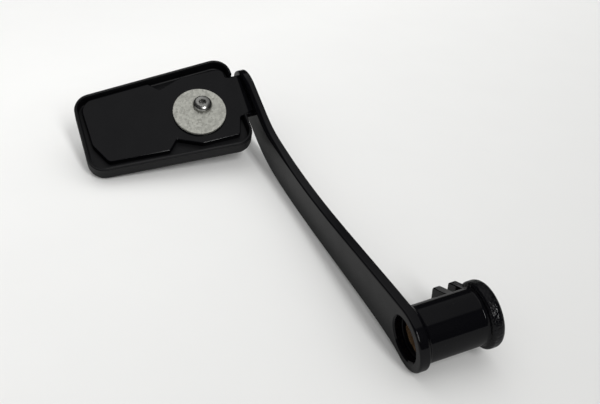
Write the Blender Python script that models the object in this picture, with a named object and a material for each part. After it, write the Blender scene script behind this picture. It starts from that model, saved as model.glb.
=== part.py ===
# Motorcycle brake pedal: a forged lever with its hub, clevis ears and pad plate, and the
# moulded pad that is held to the plate by a screw and a large washer.
#
# The pedal is drawn in its own axes and then laid down as it comes to rest on its foot side.
# In the pedal's axes X runs along the hub from the eye's outboard face towards the engine,
# the pad lies at -X, Y runs from the hub to the pad, and Z points away from the foot side.

import math

import bmesh
import bpy
import numpy as np
from mathutils import Euler, Vector

MM = 0.001

# Clearance between touching pieces
GAP = 0.3 * MM

# Eye and arm
EYE_PAST_TUBE = 2.7 * MM
EYE_THICKNESS = 7.4 * MM
EYE_BACK_STEP = 0.25 * MM
EYE_BACK_ROUND = 2.8 * MM
ARM_THICKNESS = 6.2 * MM
ARM_EDGE = 1.2 * MM
ARM_DROP = 106.4 * MM
ARM_PAD_WIDTH = 29.4 * MM
BEND_BEFORE_PAD = 22.3 * MM
BEND_INNER_RADIUS = 65.0 * MM
BEND_ANGLE = 22.0
UPPER_LEAVE_ANGLE = 57.0
UPPER_LEAVE_PULL = 81.0 * MM
UPPER_BEND_PULL = 73.0 * MM
LOWER_LEAVE_ANGLE = -100.0
LOWER_LEAVE_PULL = 25.0 * MM
LOWER_BEND_PULL = 60.0 * MM
ARM_PAST_PAD = 29.2 * MM
ARM_END_RADIUS = 27.0 * MM
ARM_TIP_RADIUS = 9.0 * MM

# Broad rounding of the arm's upper outboard edge: it widens before the bend's end, stays at its
# full size beside the pad and narrows to a share of it at the arm's end
BROAD_EDGE = 3.8 * MM
BROAD_WIDENS_BEFORE_BEND = 57.0 * MM
BROAD_FULL_BEFORE_BEND = 7.0 * MM
BROAD_NARROWS_BEFORE_END = 22.5 * MM
BROAD_END_SHARE = 0.2

# Hub tube, collar and bore
TUBE_RADIUS = 16.0 * MM
TUBE_FILLET = 1.6 * MM
HUB_LENGTH = 50.8 * MM
COLLAR_PAST_TUBE = 3.05 * MM
COLLAR_WIDTH = 8.6 * MM
COLLAR_FRONT_ROUND = 2.2 * MM
COLLAR_END_ROUND = 3.9 * MM
HUB_WALL = 3.3 * MM
MOUTH_CHAMFER = 0.9 * MM

# How far a cutting tool reaches past the face that it opens
CUT_PAST = 1.0 * MM

# Bronze bushes pressed into the bore
BUSH_WALL = 1.4 * MM
BUSH_LENGTH = 16.0 * MM
BUSH_RECESS = 4.5 * MM
BUSH_CHAMFER = 0.4 * MM

# Clevis ears
EAR_START = 30.0 * MM
EAR_ROOT_ANGLE = 34.0
EAR_THICKNESS = 4.5 * MM
EAR_SLOT = 5.3 * MM
EAR_CORNER_PAST_TUBE = 8.4 * MM
EAR_CORNER_DROP = 7.4 * MM
EAR_CORNER_RADIUS = 2.4 * MM
EAR_PIN_Y = 11.0 * MM
EAR_PIN_PAST_TUBE = 7.0 * MM
EAR_TIP_RADIUS = 6.3 * MM
EAR_PIN_RADIUS = 3.0 * MM
EAR_EDGE = 0.7 * MM

# Pad: a tapered tray, wide at the arm and narrower at its free end
PAD_RIM_DROP = 99.2 * MM
PAD_GAP_TO_ARM = 5.0 * MM
PAD_LENGTH = 117.0 * MM
PAD_END_SLANT = 1.9 * MM
PAD_ARM_SLANT = 1.4 * MM
PAD_CENTRE_Y = 229.3 * MM
PAD_WIDTH_AT_ARM = 76.4 * MM
PAD_WIDTH_AT_END = 62.4 * MM
PAD_CORNER_RADIUS = 12.5 * MM
PAD_WALL = 2.3 * MM
PAD_LIP_HEIGHT = 2.0 * MM
PAD_LIP_STEP = 0.45 * MM
PAD_FLOOR = 7.0 * MM
PAD_FOOT_ROUND = 5.0 * MM
PAD_FLOOR_ROUND = 1.2 * MM
GATE_CORNER = 1.0 * MM

# Tread ribs on the foot side of the pad
RIB_COUNT = 5
RIB_WIDTH = 6.4 * MM
RIB_PITCH = 10.6 * MM
RIB_HEIGHT = 3.0 * MM
RIB_EDGE = 0.8 * MM
RIB_END_MARGIN = 9.0 * MM

# Pad plate of the lever
PLATE_DEPTH_IN_TRAY = 3.5 * MM
PLATE_THICKNESS = 4.5 * MM
PLATE_EDGE = 0.7 * MM
PLATE_FAR_CLEARANCE = 0.7 * MM
PLATE_NEAR_CLEARANCE = 5.2 * MM
PLATE_END_CLEARANCE = 3.6 * MM
PLATE_FAR_CORNER = 8.0 * MM
PLATE_CHAMFER_X = 7.5 * MM
PLATE_CHAMFER_Y = 14.5 * MM
PLATE_END_CORNER = 5.0 * MM
PLATE_CHAMFER_CORNER = 4.0 * MM
NOTCH_FROM_ARM = 54.0 * MM
NOTCH_DEPTH = 8.0 * MM
NOTCH_STEEP = 7.0 * MM
NOTCH_SLOPE = 17.0 * MM
NOTCH_FAR_ROOT = 1.0 * MM
NOTCH_FAR_SHOULDER = 3.0 * MM
NOTCH_NEAR_ROOT = 1.4 * MM
NOTCH_NEAR_SHOULDER = 2.0 * MM
NOTCH_SLOPE_CORNER = 4.0 * MM
PLATE_INNER_FROM_ARM = 4.5 * MM
PLATE_INNER_FAR_REACH = 30.3 * MM
PLATE_INNER_NEAR_REACH = 27.7 * MM
PLATE_INNER_CORNER = 5.0 * MM
PLATE_NECK_SLOPE = 5.0 * MM
PLATE_NECK_CORNER = 2.0 * MM
NECK_NEAR_REACH = 13.3 * MM
NECK_FAR_REACH = 21.7 * MM
NECK_FAR_CORNER = 1.0 * MM
NECK_NEAR_FILLET_REACH = 7.6 * MM
NECK_NEAR_FILLET_RISE = 5.0 * MM
NECK_FAR_FILLET_REACH = 4.2 * MM
NECK_FAR_FILLET_RISE = 1.6 * MM
NECK_FOOT_FILLET = 2.6 * MM
NECK_SINK = 0.03 * MM
NECK_CLEARANCE = 1.0 * MM

# Screw, washer and the threaded insert in the pad
SCREW_FROM_ARM = 28.7 * MM
SCREW_PAST_CENTRE = 1.5 * MM
PLATE_HOLE_RADIUS = 8.0 * MM
WASHER_RADIUS = 19.05 * MM
WASHER_THICKNESS = 2.0 * MM
WASHER_OFFSET_X = -3.4 * MM
WASHER_OFFSET_Y = -4.0 * MM
WASHER_EDGE = 0.35 * MM
SHANK_RADIUS = 3.97 * MM
SHANK_LENGTH = 12.7 * MM
SHANK_LEAD = 0.6 * MM
HEAD_RADIUS = 6.95 * MM
HEAD_FLAT_RADIUS = 2.919 * MM
HEAD_HEIGHT = 4.2 * MM
HEAD_RIM = 0.8 * MM
SOCKET_ACROSS_FLATS = 4.76 * MM
SOCKET_DEPTH = 2.6 * MM
INSERT_HUB_RADIUS = 6.5 * MM
INSERT_FLANGE_RADIUS = 10.5 * MM
INSERT_FLANGE_THICKNESS = 1.6 * MM
INSERT_HEIGHT = 5.4 * MM
INSERT_HUB_ABOVE_FLANGE = 2.0 * MM

# How the pedal lies at rest on its foot side, in degrees
REST_ANGLE_X = 29.04
REST_ANGLE_Y = -8.05

# Faces along round stretches
ARC_STEPS = 8
ROUND_STEPS = 44
BEVEL_STEPS = 2

# Points closer than this are one point
WELD = 0.002 * MM

# Faces that turn by less than this many degrees are one flat face
FLAT_ANGLE = 0.2

# Radii of the hub, and the ears' places beside it
EYE_RADIUS = TUBE_RADIUS + EYE_PAST_TUBE
COLLAR_RADIUS = TUBE_RADIUS + COLLAR_PAST_TUBE
BORE_RADIUS = TUBE_RADIUS - HUB_WALL
EAR_CORNER_Y = TUBE_RADIUS + EAR_CORNER_PAST_TUBE
EAR_PIN_Z = -TUBE_RADIUS - EAR_PIN_PAST_TUBE

# Places in the pedal's axes that several pieces share
RIM_Z = -PAD_RIM_DROP
PLATE_TOP_Z = RIM_Z - PLATE_DEPTH_IN_TRAY
PLATE_FOOT_Z = PLATE_TOP_Z - PLATE_THICKNESS
TRAY_FLOOR_Z = PLATE_FOOT_Z - GAP
PAD_FOOT_Z = TRAY_FLOOR_Z - PAD_FLOOR
WASHER_FOOT_Z = PLATE_TOP_Z + GAP
WASHER_TOP_Z = WASHER_FOOT_Z + WASHER_THICKNESS
HEAD_SEAT_Z = WASHER_TOP_Z + GAP
PAD_ARM_X = -PAD_GAP_TO_ARM
PAD_END_X = PAD_ARM_X - PAD_LENGTH
PLATE_INNER_X = PAD_ARM_X - PLATE_INNER_FROM_ARM
NOTCH_X = PAD_ARM_X - NOTCH_FROM_ARM
SCREW_X = PAD_ARM_X - SCREW_FROM_ARM
SCREW_Y = PAD_CENTRE_Y + SCREW_PAST_CENTRE
NECK_NEAR_Y = PAD_CENTRE_Y - NECK_NEAR_REACH
NECK_FAR_Y = PAD_CENTRE_Y + NECK_FAR_REACH
PLATE_INNER_NEAR_Y = PAD_CENTRE_Y - PLATE_INNER_NEAR_REACH
PLATE_INNER_FAR_Y = PAD_CENTRE_Y + PLATE_INNER_FAR_REACH
BEND_END_Y = PAD_CENTRE_Y - BEND_BEFORE_PAD
ARM_END_Y = PAD_CENTRE_Y + ARM_PAST_PAD


# Plane curves

def arc(centre, radius, start, end, steps=ARC_STEPS):
    """Points on an arc, both ends included, angles in degrees."""
    angles = np.radians(np.linspace(start, end, steps + 1))
    return [(centre[0] + radius * math.cos(a), centre[1] + radius * math.sin(a)) for a in angles]


def bezier(start, start_pull, end_pull, end, steps):
    """Points on a cubic curve, both ends included."""
    points = []
    for t in np.linspace(0.0, 1.0, steps + 1):
        weights = ((1 - t) ** 3, 3 * t * (1 - t) ** 2, 3 * t * t * (1 - t), t ** 3)
        corners = (start, start_pull, end_pull, end)
        points.append(tuple(sum(w * c[i] for w, c in zip(weights, corners)) for i in (0, 1)))
    return points


def polar(radius, angle):
    """A point at an angle in degrees from the first axis."""
    return (radius * math.cos(math.radians(angle)), radius * math.sin(math.radians(angle)))


def along(point, angle, distance):
    """The point moved by a distance in the direction of an angle."""
    step = polar(distance, angle)
    return (point[0] + step[0], point[1] + step[1])


def rounded(corners, steps=ARC_STEPS):
    """A closed outline through corners (x, y, radius), each rounded by its own radius."""
    outline = []
    count = len(corners)
    for i, (x, y, radius) in enumerate(corners):
        if radius <= 0:
            outline.append((x, y))
            continue
        corner = Vector((x, y))
        before = (Vector(corners[i - 1][:2]) - corner).normalized()
        after = (Vector(corners[(i + 1) % count][:2]) - corner).normalized()
        half = before.angle(after) / 2
        centre = corner + (before + after).normalized() * radius / math.sin(half)
        first = corner + before * radius / math.tan(half) - centre
        turn = before.angle(after) - math.pi
        if before.cross(after) < 0:
            turn = -turn
        for k in range(steps + 1):
            angle = turn * k / steps
            point = centre + Vector((first.x * math.cos(angle) - first.y * math.sin(angle),
                                     first.x * math.sin(angle) + first.y * math.cos(angle)))
            outline.append((point.x, point.y))
    return outline


# Solids

def keep(name, mesh_data):
    """Make a scene object from a bmesh, faces pointing out."""
    bmesh.ops.recalc_face_normals(mesh_data, faces=mesh_data.faces)
    mesh = bpy.data.meshes.new(name)
    mesh_data.to_mesh(mesh)
    mesh_data.free()
    obj = bpy.data.objects.new(name, mesh)
    bpy.context.scene.collection.objects.link(obj)
    return obj


def inward(outline):
    """The inward mitre of each point, so that moving by it moves both edges in by one unit."""
    points = [Vector(point) for point in outline]
    area = sum(a.cross(b) for a, b in zip(points, points[1:] + points[:1]))
    side = 1.0 if area > 0 else -1.0
    mitres = []
    for i, point in enumerate(points):
        before = (point - points[i - 1]).normalized()
        after = (points[(i + 1) % len(points)] - point).normalized()
        normals = [Vector((-edge.y, edge.x)) * side for edge in (before, after)]
        mitres.append((normals[0] + normals[1]) / (1 + normals[0].dot(normals[1])))
    return mitres


def prism(name, outline, low, high, axis="Z", edge=0.0, edge_low=None):
    """Extrude a plane outline from low to high, with rounded rims. A rim's radius is one value
    or one for each point of the outline."""
    edge_low = edge if edge_low is None else edge_low
    place = {"X": lambda u, v, w: (w, u, v), "Z": lambda u, v, w: (u, v, w)}[axis]
    mitres = inward(outline)
    layers = []
    for radii, face, way in ((edge_low, low, 1.0), (edge, high, -1.0)):
        if isinstance(radii, float):
            radii = [radii] * len(outline)
        rim = []
        for k in range(BEVEL_STEPS + 1 if max(radii) > 0 else 1):
            lean = math.radians(90.0 * k / BEVEL_STEPS)
            ring = []
            for (u, v), mitre, radius in zip(outline, mitres, radii):
                inset = radius * (1 - math.sin(lean))
                depth = radius * (1 - math.cos(lean))
                ring.append(place(u + mitre.x * inset, v + mitre.y * inset, face + way * depth))
            rim.append(ring)
        layers += rim if way > 0 else rim[::-1]
    return lofted(name, layers)


def turned(name, profile, centre=(0.0, 0.0), axis="X", steps=ROUND_STEPS):
    """Turn a closed profile of (along, radius) points about an axis through centre."""
    data = bmesh.new()
    rings = []
    for k in range(steps):
        angle = 2 * math.pi * k / steps
        ring = []
        for distance, radius in profile:
            u = centre[0] + radius * math.cos(angle)
            v = centre[1] + radius * math.sin(angle)
            ring.append(data.verts.new((distance, u, v) if axis == "X" else (u, v, distance)))
        rings.append(ring)
    for k in range(steps):
        ring, following = rings[k], rings[(k + 1) % steps]
        for i in range(len(profile)):
            j = (i + 1) % len(profile)
            if profile[i][1] == 0.0 and profile[j][1] == 0.0:
                continue
            data.faces.new((ring[i], ring[j], following[j], following[i]))
    bmesh.ops.remove_doubles(data, verts=data.verts, dist=1e-7)
    bmesh.ops.dissolve_degenerate(data, edges=data.edges, dist=1e-7)
    return keep(name, data)


def lofted(name, rings):
    """Join rings of (x, y, z) points in order and cap the first and the last."""
    data = bmesh.new()
    made = [[data.verts.new(point) for point in ring] for ring in rings]
    for ring, following in zip(made, made[1:]):
        for i in range(len(ring)):
            j = (i + 1) % len(ring)
            data.faces.new((ring[i], ring[j], following[j], following[i]))
    data.faces.new(made[0])
    data.faces.new(made[-1])
    return keep(name, data)


def weld(mesh):
    """Close hairline seams and split the faces into triangles, ready for the next boolean."""
    data = bmesh.new()
    data.from_mesh(mesh)
    bmesh.ops.remove_doubles(data, verts=data.verts, dist=WELD)
    bmesh.ops.dissolve_degenerate(data, edges=data.edges, dist=WELD)
    bmesh.ops.triangulate(data, faces=data.faces)
    data.to_mesh(mesh)
    data.free()


def join_flat_faces(obj):
    """Merge the flat triangles that the booleans left, so that flat faces stay light."""
    data = bmesh.new()
    data.from_mesh(obj.data)
    bmesh.ops.dissolve_limit(data, angle_limit=math.radians(FLAT_ANGLE), verts=data.verts, edges=data.edges)
    bmesh.ops.triangulate(data, faces=data.faces)
    data.to_mesh(obj.data)
    data.free()


def combine(target, tool, operation):
    """Apply a boolean of the tool to the target and remove the tool."""
    weld(tool.data)
    modifier = target.modifiers.new(operation.lower(), "BOOLEAN")
    modifier.operation = operation
    modifier.solver = "EXACT"
    modifier.object = tool
    graph = bpy.context.evaluated_depsgraph_get()
    mesh = bpy.data.meshes.new_from_object(target.evaluated_get(graph))
    target.modifiers.clear()
    old_mesh = target.data
    target.data = mesh
    mesh.name = target.name
    bpy.data.meshes.remove(old_mesh)
    weld(mesh)
    tool_mesh = tool.data
    bpy.data.objects.remove(tool)
    bpy.data.meshes.remove(tool_mesh)


def add(target, tool):
    combine(target, tool, "UNION")


def cut(target, tool):
    combine(target, tool, "DIFFERENCE")


# Lever

def arm_outline():
    """The eye and the curved arm seen along the hub, as (y, z) points."""
    pad_top = -ARM_DROP + ARM_PAD_WIDTH / 2
    pad_foot = -ARM_DROP - ARM_PAD_WIDTH / 2
    bend_centre = (BEND_END_Y, pad_top + BEND_INNER_RADIUS)
    outer_radius = BEND_INNER_RADIUS + ARM_PAD_WIDTH
    bend_start = -90.0 - BEND_ANGLE
    upper_bend = arc(bend_centre, BEND_INNER_RADIUS, -90.0, bend_start)
    lower_bend = arc(bend_centre, outer_radius, bend_start, -90.0)
    upper_eye = polar(EYE_RADIUS, UPPER_LEAVE_ANGLE)
    lower_eye = polar(EYE_RADIUS, LOWER_LEAVE_ANGLE)
    upper_edge = bezier(upper_bend[-1], along(upper_bend[-1], 180.0 - BEND_ANGLE, UPPER_BEND_PULL),
                        along(upper_eye, UPPER_LEAVE_ANGLE - 90.0, UPPER_LEAVE_PULL), upper_eye, 16)
    lower_edge = bezier(lower_eye, along(lower_eye, LOWER_LEAVE_ANGLE + 90.0, LOWER_LEAVE_PULL),
                        along(lower_bend[0], 180.0 - BEND_ANGLE, LOWER_BEND_PULL), lower_bend[0], 16)
    eye = arc((0.0, 0.0), EYE_RADIUS, UPPER_LEAVE_ANGLE, 360.0 + LOWER_LEAVE_ANGLE, 28)
    tip_centre = (ARM_END_Y - ARM_TIP_RADIUS, pad_foot + ARM_TIP_RADIUS)
    end_centre_z = pad_top - ARM_END_RADIUS
    rise = tip_centre[1] - end_centre_z
    reach = math.sqrt((ARM_END_RADIUS - ARM_TIP_RADIUS) ** 2 - rise ** 2)
    end_angle = math.degrees(math.atan2(rise, reach))
    end_centre = (tip_centre[0] - reach, end_centre_z)
    tip = arc(tip_centre, ARM_TIP_RADIUS, -90.0, end_angle)
    end = arc(end_centre, ARM_END_RADIUS, end_angle, 90.0)
    parts = (eye[:-1], lower_edge[:-1], lower_bend, tip, end[1:], upper_bend, upper_edge[1:-1])
    return [point for part in parts for point in part]


def hub_profile():
    """The back of the eye, the hub tube and its collar as (x, radius) points, solid to the axis."""
    start = ARM_THICKNESS / 2
    boss = EYE_RADIUS - EYE_BACK_STEP
    boss_centre = (EYE_THICKNESS - EYE_BACK_ROUND, boss - EYE_BACK_ROUND)
    fillet = TUBE_FILLET
    rise = TUBE_RADIUS + fillet - boss_centre[1]
    reach = math.sqrt((EYE_BACK_ROUND + fillet) ** 2 - rise ** 2)
    lean = math.degrees(math.atan2(rise, reach))
    collar_start = HUB_LENGTH - COLLAR_WIDTH
    profile = [(start, 0.0), (start, boss)]
    profile += arc(boss_centre, EYE_BACK_ROUND, 90.0, lean, 4)
    profile += arc((boss_centre[0] + reach, TUBE_RADIUS + fillet), fillet, 180.0 + lean, 270.0, 3)
    front, end = COLLAR_FRONT_ROUND, COLLAR_END_ROUND
    front_centre = (collar_start + front, COLLAR_RADIUS - front)
    rise = TUBE_RADIUS + fillet - front_centre[1]
    reach = math.sqrt((front + fillet) ** 2 - rise ** 2)
    lean = math.degrees(math.atan2(rise, reach))
    profile += arc((front_centre[0] - reach, TUBE_RADIUS + fillet), fillet, 270.0, 360.0 - lean, 3)
    profile += arc(front_centre, front, 180.0 - lean, 90.0, 4)
    profile += arc((HUB_LENGTH - end, COLLAR_RADIUS - end), end, 90.0, 0.0, 5)
    profile += [(HUB_LENGTH, 0.0)]
    return profile


def bore_cutter():
    """The through bore with a chamfered mouth at each end."""
    mouth = BORE_RADIUS + MOUTH_CHAMFER + CUT_PAST
    profile = [(-CUT_PAST, 0.0), (-CUT_PAST, mouth), (MOUTH_CHAMFER, BORE_RADIUS),
               (HUB_LENGTH - MOUTH_CHAMFER, BORE_RADIUS), (HUB_LENGTH + CUT_PAST, mouth),
               (HUB_LENGTH + CUT_PAST, 0.0)]
    return turned("bore", profile)


def ear_outline():
    """One clevis ear seen along the hub: from the tube to a corner, then down to the pin."""
    upper = Vector(polar(TUBE_RADIUS - GAP, EAR_ROOT_ANGLE))
    corner = Vector((EAR_CORNER_Y, -EAR_CORNER_DROP))
    pin = Vector((EAR_PIN_Y, EAR_PIN_Z))
    to_pin = math.degrees(math.atan2(pin.y, pin.x))
    lower_tangent = to_pin - math.degrees(math.acos((TUBE_RADIUS - EAR_TIP_RADIUS) / pin.length))
    outline = [(0.0, 0.0), tuple(upper)]
    reach = corner - pin
    lean = math.degrees(math.acos(EAR_TIP_RADIUS / reach.length))
    side = math.degrees(math.atan2(reach.y, reach.x)) - lean
    inward_upper = (upper - corner).normalized()
    tangent_point = Vector(along(tuple(pin), side, EAR_TIP_RADIUS))
    inward_lower = (tangent_point - corner).normalized()
    half = inward_upper.angle(inward_lower) / 2
    centre = corner + (inward_upper + inward_lower).normalized() * EAR_CORNER_RADIUS / math.sin(half)
    first = corner + inward_upper * EAR_CORNER_RADIUS / math.tan(half) - centre
    last = corner + inward_lower * EAR_CORNER_RADIUS / math.tan(half) - centre
    start = math.degrees(math.atan2(first.y, first.x))
    end = math.degrees(math.atan2(last.y, last.x))
    outline += arc(tuple(centre), EAR_CORNER_RADIUS, start, end, 4)
    outline += arc(tuple(pin), EAR_TIP_RADIUS, side, lower_tangent, 12)
    outline += [polar(TUBE_RADIUS - GAP, lower_tangent)]
    return outline


def make_ears(lever):
    """Two clevis ears on the tube with one pin hole through both."""
    first = EAR_START
    second = EAR_START + EAR_THICKNESS + EAR_SLOT
    outline = ear_outline()
    for start in (first, second):
        add(lever, prism("ear", outline, start, start + EAR_THICKNESS, axis="X", edge=EAR_EDGE))
    low, high = first - CUT_PAST, second + EAR_THICKNESS + CUT_PAST
    hole = [(low, 0.0), (low, EAR_PIN_RADIUS), (high, EAR_PIN_RADIUS), (high, 0.0)]
    cut(lever, turned("pin_hole", hole, (EAR_PIN_Y, EAR_PIN_Z), steps=24))


def pad_edge_y(x, side):
    """The pad's outer edge at x, side +1 for its far edge and -1 for its near edge."""
    share = (PAD_ARM_X - x) / PAD_LENGTH
    width = PAD_WIDTH_AT_ARM + (PAD_WIDTH_AT_END - PAD_WIDTH_AT_ARM) * share
    return PAD_CENTRE_Y + side * width / 2


def plate_outline():
    """The pad plate seen from above: a tapered outer part, a notch on each long edge, and
    an inner part that narrows to the neck at the arm."""
    end_x = PAD_END_X + PAD_WALL + PLATE_END_CLEARANCE
    step_x = NOTCH_X - NOTCH_STEEP
    slope_x = NOTCH_X + NOTCH_SLOPE
    root_x = ARM_THICKNESS / 3

    def far(x):
        return pad_edge_y(x, 1) - PAD_WALL - PLATE_FAR_CLEARANCE

    def near(x):
        return pad_edge_y(x, -1) + PAD_WALL + PLATE_NEAR_CLEARANCE

    corners = [
        (root_x, NECK_FAR_Y, 0.0),
        (PLATE_INNER_X, NECK_FAR_Y, NECK_FAR_CORNER),
        (PLATE_INNER_X, PLATE_INNER_FAR_Y, PLATE_INNER_CORNER),
        (slope_x, PLATE_INNER_FAR_Y, NOTCH_SLOPE_CORNER),
        (NOTCH_X, far(NOTCH_X) - NOTCH_DEPTH, NOTCH_FAR_ROOT),
        (step_x, far(step_x), NOTCH_FAR_SHOULDER),
        (end_x, far(end_x), PLATE_FAR_CORNER),
        (end_x, near(end_x) + PLATE_CHAMFER_Y, PLATE_END_CORNER),
        (end_x + PLATE_CHAMFER_X, near(end_x + PLATE_CHAMFER_X), PLATE_CHAMFER_CORNER),
        (step_x, near(step_x), NOTCH_NEAR_SHOULDER),
        (NOTCH_X, near(NOTCH_X) + NOTCH_DEPTH, NOTCH_NEAR_ROOT),
        (slope_x, PLATE_INNER_NEAR_Y, NOTCH_SLOPE_CORNER),
        (PLATE_INNER_X - PLATE_NECK_SLOPE, PLATE_INNER_NEAR_Y, PLATE_NECK_CORNER),
        (PLATE_INNER_X, NECK_NEAR_Y, PLATE_NECK_CORNER),
        (root_x, NECK_NEAR_Y, 0.0),
    ]
    return rounded(corners, 5)


def neck_fillet(side, reach, rise, face_z):
    """The hollow fillet between the plate and the arm's outboard face, as (x, z) points."""
    curve = []
    for u, v in arc((-1.0, 1.0), 1.0, -90.0, 0.0, 8):
        curve.append((NECK_SINK + u * reach, face_z + side * (v * rise - NECK_SINK)))
    inside = ARM_THICKNESS / 4
    sunk = face_z - side * PLATE_THICKNESS / 3
    return [(curve[0][0], sunk)] + curve + [(inside, curve[-1][1]), (inside, sunk)]


def make_neck_fillet(lever, side, near, far, face_z):
    """Run the fillet's section along the neck, near and far each given as (reach, rise)."""
    rings = []
    for y, (reach, rise) in ((NECK_NEAR_Y + 2 * PLATE_EDGE, near), (NECK_FAR_Y - 2 * PLATE_EDGE, far)):
        rings.append([(x, y, z) for x, z in neck_fillet(side, reach, rise, face_z)])
    add(lever, lofted("neck_fillet", rings))


def arm_front_edges(outline):
    """The rim radius of the arm's outboard face: broad on the upper edge beside the pad."""
    places = (BEND_END_Y - BROAD_WIDENS_BEFORE_BEND, BEND_END_Y - BROAD_FULL_BEFORE_BEND,
              ARM_END_Y - BROAD_NARROWS_BEFORE_END, ARM_END_Y)
    radii = []
    for y, z in outline:
        share = np.interp(y, places, (0.0, 1.0, 1.0, BROAD_END_SHARE))
        upper = z > -ARM_DROP
        radii.append(ARM_EDGE + (BROAD_EDGE - ARM_EDGE) * float(share) * upper)
    return radii


def make_lever():
    outline = arm_outline()
    lever = prism("pedal_lever", outline, 0.0, ARM_THICKNESS, axis="X", edge=ARM_EDGE,
                  edge_low=arm_front_edges(outline))
    add(lever, turned("hub", hub_profile()))
    add(lever, prism("plate", plate_outline(), PLATE_FOOT_Z, PLATE_TOP_Z, edge=PLATE_EDGE))
    near = (NECK_NEAR_FILLET_REACH, NECK_NEAR_FILLET_RISE)
    far = (NECK_FAR_FILLET_REACH, NECK_FAR_FILLET_RISE)
    foot = (NECK_FOOT_FILLET, NECK_FOOT_FILLET)
    make_neck_fillet(lever, 1, near, far, PLATE_TOP_Z)
    make_neck_fillet(lever, -1, foot, foot, PLATE_FOOT_Z)
    make_ears(lever)
    cut(lever, bore_cutter())
    past = PLATE_THICKNESS
    hole = [(PLATE_FOOT_Z - past, 0.0), (PLATE_FOOT_Z - past, PLATE_HOLE_RADIUS),
            (PLATE_TOP_Z + past, PLATE_HOLE_RADIUS), (PLATE_TOP_Z + past, 0.0)]
    cut(lever, turned("plate_hole", hole, (SCREW_X, SCREW_Y), axis="Z", steps=32))
    join_flat_faces(lever)
    return lever


# Pad

def pad_outline(inset):
    """The pad's tapered outline, moved in by a distance, with the same points each time."""
    far_end = PAD_END_X + PAD_END_SLANT / 2
    near_end = PAD_END_X - PAD_END_SLANT / 2
    far_arm = PAD_ARM_X + PAD_ARM_SLANT / 2
    near_arm = PAD_ARM_X - PAD_ARM_SLANT / 2
    corners = [(far_arm, pad_edge_y(far_arm, 1)), (far_end, pad_edge_y(far_end, 1)),
               (near_end, pad_edge_y(near_end, -1)), (near_arm, pad_edge_y(near_arm, -1))]
    radius = PAD_CORNER_RADIUS - inset
    moved = []
    for (x, y), mitre in zip(corners, inward(corners)):
        moved.append((x + mitre.x * inset, y + mitre.y * inset, radius))
    return rounded(moved, ARC_STEPS)


def pad_section():
    """The pad's wall from the middle of its foot side, over the lip and down to its floor,
    as (inset, z) points."""
    lip_radius = (PAD_WALL - PAD_LIP_STEP) / 2
    lip_low = RIM_Z - PAD_LIP_HEIGHT
    foot_centre = (PAD_FOOT_ROUND, PAD_FOOT_Z + PAD_FOOT_ROUND)
    floor_centre = (PAD_WALL + PAD_FLOOR_ROUND, TRAY_FLOOR_Z + PAD_FLOOR_ROUND)
    section = arc(foot_centre, PAD_FOOT_ROUND, -90.0, -180.0, 5)
    section += [(0.0, lip_low - PAD_LIP_STEP), (PAD_LIP_STEP, lip_low)]
    section += arc((PAD_LIP_STEP + lip_radius, RIM_Z - lip_radius), lip_radius, 180.0, 0.0, 6)
    section += arc(floor_centre, PAD_FLOOR_ROUND, 180.0, 270.0, 3)
    return section


def make_pad():
    rings = [[(x, y, z) for x, y in pad_outline(inset)] for inset, z in pad_section()]
    pad = lofted("pedal_pad", rings)
    add_ribs(pad)
    gate_low = NECK_NEAR_Y - NECK_CLEARANCE
    gate_high = NECK_FAR_Y + NECK_CLEARANCE
    gate = rounded([(PAD_ARM_X + PAD_WALL, gate_low, 0.0), (PAD_ARM_X + PAD_WALL, gate_high, 0.0),
                    (PAD_ARM_X - 2 * PAD_WALL, gate_high, GATE_CORNER),
                    (PAD_ARM_X - 2 * PAD_WALL, gate_low, GATE_CORNER)], 3)
    cut(pad, prism("gate", gate, TRAY_FLOOR_Z, RIM_Z + PAD_WALL))
    cut(pad, insert_pocket())
    join_flat_faces(pad)
    return pad


def add_ribs(pad):
    """Parallel tread ribs with round ends, as long as the tapered pad allows."""
    for i in range(RIB_COUNT):
        offset = (i - (RIB_COUNT - 1) / 2) * RIB_PITCH
        y = PAD_CENTRE_Y + offset
        x_arm = PAD_ARM_X - RIB_END_MARGIN
        x_end = PAD_END_X + RIB_END_MARGIN
        half = RIB_WIDTH / 2
        outline = arc((x_arm - half, y), half, -90.0, 90.0, 8)
        outline += arc((x_end + half, y), half, 90.0, 270.0, 8)
        rib = prism("rib", outline, PAD_FOOT_Z - RIB_HEIGHT, PAD_FOOT_Z + RIB_EDGE, edge_low=RIB_EDGE)
        add(pad, rib)


def insert_profile(grow, top_z):
    """The threaded insert as (z, radius) points: a hub with a flange that keys it in the pad."""
    flange_top = TRAY_FLOOR_Z - GAP - INSERT_HUB_ABOVE_FLANGE + grow
    flange_foot = flange_top - INSERT_FLANGE_THICKNESS - 2 * grow
    foot = TRAY_FLOOR_Z - GAP - INSERT_HEIGHT - grow
    hub = INSERT_HUB_RADIUS + grow
    flange = INSERT_FLANGE_RADIUS + grow
    return [(top_z, hub), (flange_top, hub), (flange_top, flange), (flange_foot, flange),
            (flange_foot, hub), (foot, hub)]


def insert_pocket():
    """The hollow in the pad that the insert fills, open at the pad's floor."""
    top = TRAY_FLOOR_Z + GAP
    profile = [(top, 0.0)] + insert_profile(GAP, top)
    profile += [(profile[-1][0], 0.0)]
    return turned("pocket", profile, (SCREW_X, SCREW_Y), axis="Z", steps=32)


def make_insert():
    profile = insert_profile(0.0, TRAY_FLOOR_Z - GAP)
    bore = SHANK_RADIUS + GAP
    profile += [(profile[-1][0], bore), (profile[0][0], bore)]
    return turned("pad_insert", profile, (SCREW_X, SCREW_Y), axis="Z", steps=32)


# Screw and washer

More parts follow.
